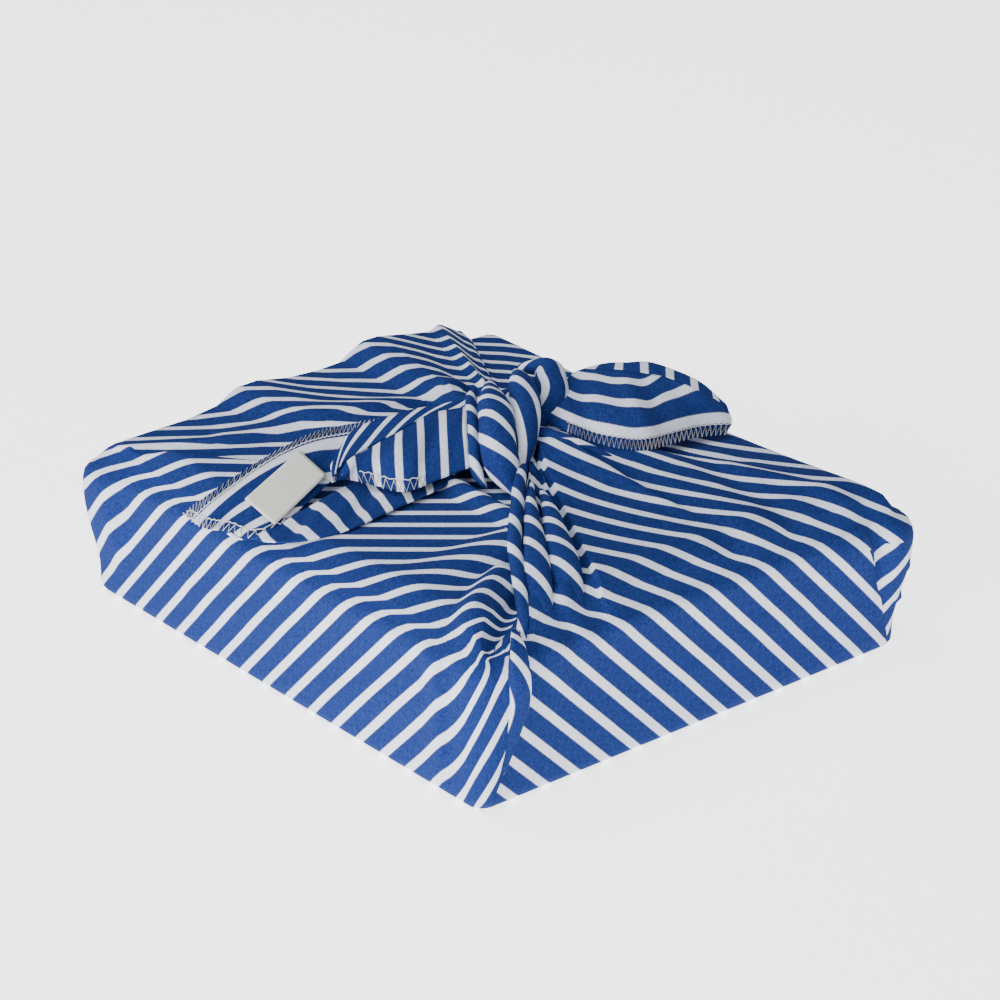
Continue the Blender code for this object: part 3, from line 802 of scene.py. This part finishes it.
def piece_noise(tree, scale, detail):
    """Noise on a piece's own coordinates."""
    places = node(tree, "ShaderNodeTexCoord").outputs["Object"]
    return node(tree, "ShaderNodeTexNoise",
                {"Vector": places, "Scale": scale, "Detail": detail}).outputs[0]


def ramp(tree, value, low, high, start, end):
    """A value taken from low..high to start..end."""
    return node(tree, "ShaderNodeMapRange",
                {"Value": value, "From Min": low, "From Max": high,
                 "To Min": start, "To Max": end}).outputs[0]


def raised(tree, shader, height, strength, distance):
    """A finish's fine relief."""
    bump = node(tree, "ShaderNodeBump",
                {"Height": height, "Strength": strength, "Distance": distance})
    tree.links.new(bump.outputs[0], shader.inputs["Normal"])


def new_material(name, roughness, sheen=0.0):
    """A dull finish, with its node tree and shader."""
    material = bpy.data.materials.new(name)
    material.use_nodes = True
    tree = material.node_tree
    shader = tree.nodes["Principled BSDF"]
    shader.inputs["Roughness"].default_value = roughness
    shader.inputs["Metallic"].default_value = 0.0
    shader.inputs["Specular IOR Level"].default_value = 0.1
    shader.inputs["Sheen Weight"].default_value = sheen
    shader.inputs["Sheen Roughness"].default_value = 0.6
    return material, tree, shader


def chambray():
    """Blue chambray with woven white stripes, on the cloth's own places in metres."""
    material, tree, shader = new_material("striped chambray", 0.95)
    places = node(tree, "ShaderNodeUVMap", uv_map="cloth").outputs[0]
    across = node(tree, "ShaderNodeSeparateXYZ", {0: places}).outputs[0]
    ragged = cloth_noise(tree, places, (900, 2200, 1))
    shifted = sums(tree, "ADD", across,
                   sums(tree, "MULTIPLY", sums(tree, "SUBTRACT", ragged, 0.5), STRIPE_RAGGED * MM))
    turn = sums(tree, "DIVIDE", shifted, STRIPE_PITCH * MM)
    away = sums(tree, "ABSOLUTE",
                sums(tree, "SUBTRACT", sums(tree, "FRACT", sums(tree, "ADD", turn, 1000.5)), 0.5))
    half = STRIPE_WHITE / 2 / STRIPE_PITCH
    white = ramp(tree, away, half - STRIPE_SOFT, half + STRIPE_SOFT, 1.0, 0.0)
    past = sums(tree, "ABSOLUTE", sums(tree, "SUBTRACT", away, half + STRIPE_SOFT))
    border = ramp(tree, past, 0.008, 0.028, 1.0, 0.0)
    weft = cloth_noise(tree, places, (2400, 420, 1))
    warp = cloth_noise(tree, places, (420, 2400, 1))
    threads = sums(tree, "MULTIPLY", sums(tree, "ADD", weft, warp), 0.5)
    speckle = ramp(tree, threads, 0.36, 0.64, 0.0, 1.0)
    blue = blend_colours(tree, speckle, (0.005, 0.013, 0.090, 1), (0.021, 0.044, 0.195, 1))
    pale = blend_colours(tree, speckle, (0.58, 0.63, 0.74, 1), (0.78, 0.82, 0.92, 1))
    cloudy = sums(tree, "MULTIPLY", piece_noise(tree, 55.0, 3.0), 0.35)
    blue = blend_colours(tree, cloudy, blue, (0.009, 0.028, 0.130, 1))
    colour = blend_colours(tree, white, blue, pale)
    colour = blend_colours(tree, sums(tree, "MULTIPLY", border, 0.30), colour,
                           (0.16, 0.12, 0.20, 1))
    tree.links.new(colour, shader.inputs["Base Color"])
    raised(tree, shader, threads, 0.35, 0.12 * MM)
    return material


def thread(name, colour):
    """Twisted sewing thread."""
    material, tree, shader = new_material(name, 0.75, 0.2)
    twist = piece_noise(tree, 2600.0, 1.0)
    dark = tuple(channel * 0.62 for channel in colour[:3]) + (1,)
    tree.links.new(blend_colours(tree, twist, dark, colour), shader.inputs["Base Color"])
    return material


def label_weave():
    """Cream woven tape with fine ribs."""
    material, tree, shader = new_material("cream woven tape", 0.85, 0.15)
    places = node(tree, "ShaderNodeUVMap", uv_map="cloth").outputs[0]
    ribs = cloth_noise(tree, places, (600, 3800, 1))
    colour = blend_colours(tree, ribs, (0.60, 0.60, 0.53, 1), (0.86, 0.86, 0.80, 1))
    tree.links.new(colour, shader.inputs["Base Color"])
    raised(tree, shader, ribs, 0.5, 0.2 * MM)
    return material


def cardboard():
    """Plain brown board with a fibrous grain."""
    material, tree, shader = new_material("plain cardboard", 0.8)
    grain = piece_noise(tree, 320.0, 5.0)
    colour = blend_colours(tree, grain, (0.36, 0.25, 0.15, 1), (0.50, 0.37, 0.24, 1))
    tree.links.new(colour, shader.inputs["Base Color"])
    raised(tree, shader, grain, 0.2, 0.3 * MM)
    return material


def floor_finish():
    """A pale floor that glows softly."""
    material, tree, shader = new_material("pale floor", 0.9)
    colour = blend_colours(tree, piece_noise(tree, 6.0, 2.0), (0.90, 0.90, 0.90, 1),
                           (0.94, 0.94, 0.94, 1))
    tree.links.new(colour, shader.inputs["Base Color"])
    shader.inputs["Emission Color"].default_value = (1, 1, 1, 1)
    shader.inputs["Emission Strength"].default_value = FLOOR_GLOW
    return material


# ================================================================ stage
def make_camera():
    """The camera that sees the knot and the two near sides."""
    data = bpy.data.cameras.new("camera")
    data.lens, data.sensor_width = CAMERA_LENS, CAMERA_SENSOR
    data.sensor_fit = "HORIZONTAL"
    data.clip_start, data.clip_end = 0.05, 20
    obj = bpy.data.objects.new("camera", data)
    obj.location = CAMERA_PLACE
    toward = Vector(CAMERA_AIM) - Vector(CAMERA_PLACE)
    obj.rotation_euler = toward.to_track_quat("-Z", "Y").to_euler()
    bpy.context.scene.collection.objects.link(obj)
    bpy.context.scene.camera = obj


def area_lamp(lamp):
    """A square lamp turned to the lamps' aim."""
    data = bpy.data.lights.new(lamp.name, "AREA")
    data.size, data.energy, data.color = lamp.size, lamp.power, lamp.colour
    obj = bpy.data.objects.new(lamp.name, data)
    obj.location = lamp.place
    toward = Vector(LAMP_AIM) - Vector(lamp.place)
    obj.rotation_euler = toward.to_track_quat("-Z", "Y").to_euler()
    bpy.context.scene.collection.objects.link(obj)


def make_stage():
    """The floor, the lamps and the sky."""
    bm = bmesh.new()
    bmesh.ops.create_grid(bm, x_segments=8, y_segments=8, size=4)
    floor = finished("floor", bm, floor_finish())
    for lamp in LAMPS:
        area_lamp(lamp)
    world = bpy.data.worlds.new("studio")
    world.use_nodes = True
    world.node_tree.nodes["Background"].inputs[0].default_value = SKY_COLOUR
    world.node_tree.nodes["Background"].inputs[1].default_value = SKY_STRENGTH
    bpy.context.scene.world = world


# ================================================================ the knot and its tails
FRONT_BAND = (
    (16, 18, 85, 2.5, 3), (2, 0, 86, 6.4, 5, 0, 1, -0.84, 0.1),
    (-5, -11, 84, 6.8, 6, 0, 1, -0.84, 0.1), (-12.4, -20.6, 79, 6.6, 6, 0, 1, -0.84, 0.1),
    (-16, -28, 73, 6.4, 5.5), (-17, -34, 68, 3.6, 4), (-15, -37, 64, 1.5, 3),
)
MIDDLE_BAND = (
    (30, 20, 85, 3, 3), (20, 5, 87, 5.4, 5), (12, -7, 84.5, 6, 5.5), (5, -15, 81, 5.6, 5.5),
    (-3, -23, 75, 4.6, 5), (-10, -29, 70, 3, 4), (-14, -34, 64, 1.5, 3),
)
RIGHT_BAND = (
    (34, 24, 84, 3, 3), (38, 11, 86.5, 5.5, 5), (33, 3, 84, 6.4, 5), (27, -4, 81, 6.2, 5),
    (20, -8, 77, 4.5, 4.5), (11, -12, 72, 3, 3.5),
)
BACK_BAND = (
    (11, 20, 82, 2, 3), (5, 16, 80, 2.8, 4), (-5, 3, 78, 3, 4.5), (-15, -10, 75, 3, 4),
    (-22, -21, 70, 2.4, 3.5), (-22, -26, 66, 1.2, 2),
)
CORE = (
    (-8, -2, 68, 8, 8, 0, 0, 0, 1), (6, 2, 73, 11, 11, 0, 0, 0, 1), (22, 6, 74, 11, 11, 0, 0, 0, 1),
    (36, 11, 72, 7, 8, 0, 0, 0, 1),
)
# Folds gathered at the front's edge, from the knot to the near corner
FOLD_1 = (
    (-6.7, -28.9, 72.4, 2.8, 2.4), (-19.3, -40.9, 72.6, 2.9, 2.6), (-32.3, -54.9, 70.4, 2.7, 2.6),
    (-46.2, -70, 68.2, 2.6, 2.6), (-55.2, -82, 66, 2.6, 2.4), (-66, -96.8, 62.8, 2.5, 2.2),
    (-73, -106.4, 59, 2.4, 2), (-78, -112, 52, 2, 1.6),
)
FOLD_2 = (
    (-13.7, -40.9, 71.3, 1.6, 1.8), (-27.4, -56.6, 70.6, 2.7, 2.6), (-40.8, -74.1, 68.2, 3.9, 3),
    (-50.4, -86.4, 66, 4.6, 3), (-59.1, -97.6, 62.4, 5, 2.8), (-65.6, -106.4, 57.4, 4.8, 2.4),
    (-69, -111, 50, 4.4, 2),
)
FOLD_3 = (
    (-13, -44.9, 69.8, 1.8, 1.8), (-23.6, -62.4, 69.4, 3.6, 3), (-33.6, -77.4, 67.2, 4.8, 3.4),
    (-42, -90.6, 65, 5.6, 3.4), (-48.2, -99.4, 61.2, 5.8, 3), (-52.6, -106.2, 56.6, 5.4, 2.6),
    (-55, -110, 50, 4.6, 2),
)
FOLD_4 = (
    (8, -6, 76, 2, 2), (9, -15, 77, 3, 2.2), (12, -24, 76, 3.2, 2.4), (17, -33, 73.6, 2.8, 2.2),
    (23, -43, 70, 2, 1.6), (28, -52, 65, 1.4, 1),
)
# The roll that runs on down the near corner, under the front's edge
FOLD_5 = (
    (-80, -110, 60, 2.4, 2, 1, -0.4, 0, 0), (-83.6, -116.4, 55, 3.8, 2.6, 1, -0.4, 0, 0),
    (-85, -118.6, 48, 4.4, 3, 1, -0.4, 0, 0), (-84.6, -118.2, 38, 4.2, 3, 1, -0.4, 0, 0),
    (-87, -117.2, 27, 3.6, 2.6, 1, -0.4, 0, 0), (-90.4, -116, 15, 2.8, 2, 1, -0.4, 0, 0),
    (-93.5, -113.5, 4.5, 1.8, 1.2, 1, -0.4, 0, 0),
)
# Left tail: the corner of the cloth between its two overlocked edges, the rolled fold above the
# flap, the flap folded over and the layer under them; rails from the tip or the left to the right
CORNER_UPPER = (
    (-111, 34, 61), (-101, 29, 69), (-79, 30, 75), (-59, 31, 78.2), (-45, 29, 79.2), (-34, 21, 81),
)
CORNER_LOWER = (
    (-110, 34, 59.5), (-110, 23, 59), (-105, 17, 58.5), (-98, 4, 59.3), (-62, 13, 67),
    (-51, 17, 73),
)
ROLL_UPPER = (
    (-64, 10, 75), (-47, 21, 79.4), (-36, 21, 81.4), (-21, 19, 82.4), (-7, 16, 82.4), (4, 15, 82.4),
)
ROLL_LOWER = (
    (-67, 5, 72.4), (-60, 8, 75.4), (-47, 10, 77.4), (-32, 10, 80.4), (-16, 13, 81.4),
    (-3, 9, 81.4),
)
FLAP_UPPER = (
    (-66, 7, 71), (-59, 9, 75), (-46, 9, 77.5), (-30, 12, 80), (-16, 13, 81.5), (-2, 9, 82),
)
FLAP_MIDDLE = (
    (-66, 7, 71), (-60, 6, 73), (-51, 3, 75), (-41, -2, 77.5), (-28, -3, 79), (-14, -5, 79.5),
)
FLAP_LOWER = (
    (-65, 8, 69), (-58, 8, 68), (-53, -1, 67.5), (-49, -13, 68), (-38, -16, 70), (-23, -18, 72),
)
BODY_UPPER = (
    (-106, 15, 58.4), (-95, 6, 60), (-80, 6, 63), (-55, 8, 66.5), (-34, 3, 67.5), (-11, -4, 70),
)
BODY_LOWER = (
    (-105, 12, 57.5), (-99, 0, 58.6), (-92, -11, 60.6), (-77, -17, 62.6), (-52, -16, 64.6),
    (-34, -16, 66.6),
)
# Right tail: its hanging face from the overlocked edge up to the fold, and the strip behind it
RIGHT_EDGE = (
    (18, -9, 76.5), (19, -22, 76), (22, -31, 74.5), (28, -41, 73), (36, -46, 72), (50, -44, 70),
    (66, -42, 68), (81, -42, 65.5),
)
RIGHT_MIDDLE = (
    (21, -8, 79), (26, -14, 81), (31, -22, 82), (39, -29, 82), (47, -33, 81), (58, -35, 79),
    (73, -36, 75.5), (87, -38, 69),
)
RIGHT_FOLD = (
    (31, -2, 82), (45, 3, 86), (52, -3, 87), (57, -10, 87.5), (62, -17, 87), (68, -23, 85.5),
    (76, -32, 81), (87, -36, 73),
)
BEHIND_FOLD = (
    (40, 6, 81), (52, 5, 85), (58, 0, 87.2), (62, -6, 88.2), (69, -11, 88.2), (74, -18, 86.4),
    (80, -28, 82.5), (87, -35, 74),
)
LABEL_CORNERS = ((-97, 16, 69), (-66, 26, 76), (-63, 14, 69.5), (-93, 4, 62))

# The rolled bands: how the stripes turn and slip, the pleats and their height, and the columns
# round each band and the rings along it
Band = namedtuple("Band", "name rows turn slip pleats pleat_high sides count",
                  defaults=(0, 0.0, 36, 48))
BANDS = (
    Band("knot-core", CORE, 1.2, 0),
    Band("knot-back-band", BACK_BAND, 0.9, 2),
    Band("knot-front-band", FRONT_BAND, 0.72, 1, 3, 0.05),
    Band("knot-middle-band", MIDDLE_BAND, 1.2, 2, 3, 0.05),
    Band("knot-right-band", RIGHT_BAND, 1.4, 3, 3, 0.05),
    Band("near-fold-1", FOLD_1, 1.05, 1, sides=24, count=60),
    Band("near-fold-2", FOLD_2, 1.0, 6, sides=24, count=60),
    Band("near-fold-3", FOLD_3, 0.85, 4, sides=24, count=60),
    Band("near-fold-4", FOLD_4, 1.0, 2, sides=24, count=40),
    Band("near-fold-5", FOLD_5, 1.3, 0, sides=24, count=60),
)
# The tails: how the stripes turn, slip and spread, the places along and across each sheet, and its
# flat width and length
Tail = namedtuple("Tail", "name rails turn slip spread along across flat")
TAILS = (
    Tail("left-tail-corner", (CORNER_UPPER, CORNER_LOWER),
         math.pi / 2, -4.6, 0.58, 80, 18, (20, 80)),
    Tail("left-tail-roll", (ROLL_UPPER, ROLL_LOWER), 0.6, 0, 1, 60, 12, (10, 69)),
    Tail("left-tail-flap", (FLAP_UPPER, FLAP_MIDDLE, FLAP_LOWER), 0.0, 0, 1, 60, 24, (23, 58)),
    Tail("left-tail-under", (BODY_UPPER, BODY_LOWER), -0.42, 0, 1, 80, 14, (18, 92)),
    Tail("right-tail", (RIGHT_EDGE, RIGHT_MIDDLE, RIGHT_FOLD),
         math.pi / 2, -5.0, 0.66, 80, 30, (30, 81)),
    Tail("right-tail-behind", (RIGHT_FOLD, BEHIND_FOLD), 0.15, 0, 1, 60, 10, (10, 60)),
)


# Overlocked edges: which tail, whether along its last rail, where along it, pitch and depth
Overlock = namedtuple("Overlock", "name tail last begin end pitch depth")
OVERLOCKS = (
    Overlock("left-upper", "left-tail-corner", False, 0.0, 1.0, 2.0, 4.2),
    Overlock("left-lower", "left-tail-corner", True, 0.0, 0.68, 2.6, 3.4),
    Overlock("left-flap", "left-tail-flap", True, 0.0, 0.75, 2.6, 4.0),
    Overlock("right-lower", "right-tail", False, 0.16, 1.0, 2.0, 4.4),
)
THREAD_RADIUS = 0.24
# Soft waves across a tail: how many along it, and how high
CREASED = {
    "left-tail-corner": (1.5, 0.5), "left-tail-flap": (2.6, 0.7), "left-tail-under": (3.2, 0.8),
    "right-tail": (2.2, 0.9),
}


def creased(surface, waves, high):
    """The surface with soft uneven waves across its length, fading at both rails."""
    along, across = surface.shape[:2]
    u = np.linspace(0, 1, along)[:, None]
    v = np.linspace(0, 1, across)[None, :]
    wave = np.sin(math.tau * (waves * u + 0.35 * v)) + 0.5 * np.sin(math.tau * (2.3 * waves * u + v))
    step_u = np.gradient(surface, axis=0)
    step_v = np.gradient(surface, axis=1)
    normal = np.cross(step_u, step_v)
    normal /= np.linalg.norm(normal, axis=2)[:, :, None] + 1e-9
    return surface + normal * (high * wave * np.sin(math.pi * v) ** 0.7)[:, :, None]


def overlock(name, surface, row, material):
    """A zigzag thread over an edge of a tail, and the chain thread inside it."""
    along = surface.shape[0]
    first, last = int(row.begin * (along - 1)), int(row.end * (along - 1))
    edge, inner = [], []
    for i in range(first, last + 1):
        line = surface[i]
        run = np.concatenate(([0], np.cumsum(np.linalg.norm(np.diff(line, axis=0), axis=1))))
        depth = min(row.depth, run[-1] * 0.8)
        inner.append([np.interp(depth, run, line[:, k]) for k in range(3)])
        edge.append(line[0] + (line[0] - line[1]) / max(run[1], 0.1) * 0.3)
    edge, inner = np.array(edge), np.array(inner)
    facing = np.cross(np.gradient(edge, axis=0), inner - edge)
    facing /= np.linalg.norm(facing, axis=1)[:, None] + 1e-9
    facing *= np.sign(facing[:, 2:3] + 1e-9)
    lifted = facing * 0.3
    return [stitch_line(name, edge + lifted, inner + lifted, row.pitch, THREAD_RADIUS, material),
            stitch_line(name + "-chain", inner + lifted * 1.6, inner + (inner - edge) * 0.12
                        + lifted * 1.6, row.pitch * 1.1, THREAD_RADIUS, material)]


def make_knot(cloth):
    """The knot's bands and its two tails, with their overlocked edges."""
    white = thread("white thread", (0.80, 0.80, 0.84, 1))
    bands = [knot_band(cloth, *row) for row in BANDS]
    tails, surfaces = [], {}
    for row in TAILS:
        surface = railed_surface(row.rails, row.along, row.across)
        if row.name in CREASED:
            surface = creased(surface, *CREASED[row.name])
        surfaces[row.name] = surface
        tails.append(sheet_from(row.name, surface, cloth, row.turn, row.slip, row.spread))
    stitches = []
    for row in OVERLOCKS:
        surface = surfaces[row.tail]
        surface = surface[:, ::-1] if row.last else surface
        stitches += overlock(f"overlock-{row.name}", surface, row, white)
    return bands, tails, stitches


def make_label(material):
    """The blank woven label on the corner of the left tail."""
    a, b, c, d = (np.array(place, float) for place in LABEL_CORNERS)
    rows = [[a + (b - a) * u / 5 for u in range(6)], [d + (c - d) * u / 5 for u in range(6)]]
    surface = railed_surface(rows, 26, 12)
    return sheet_from("label-tape", surface, material, 0, 0)


def main():
    make_camera()
    make_stage()
    cloth = chambray()
    wrapped = wrap(cloth)
    bands, tails, stitches = make_knot(cloth)
    label = make_label(label_weave())
    for piece in [wrapped, *bands, *tails, *stitches, label]:
        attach(piece, "root")
    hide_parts("cloth")
    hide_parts("label")
    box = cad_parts["box"]
    box.data.materials.clear()
    box.data.materials.append(cardboard())


main()
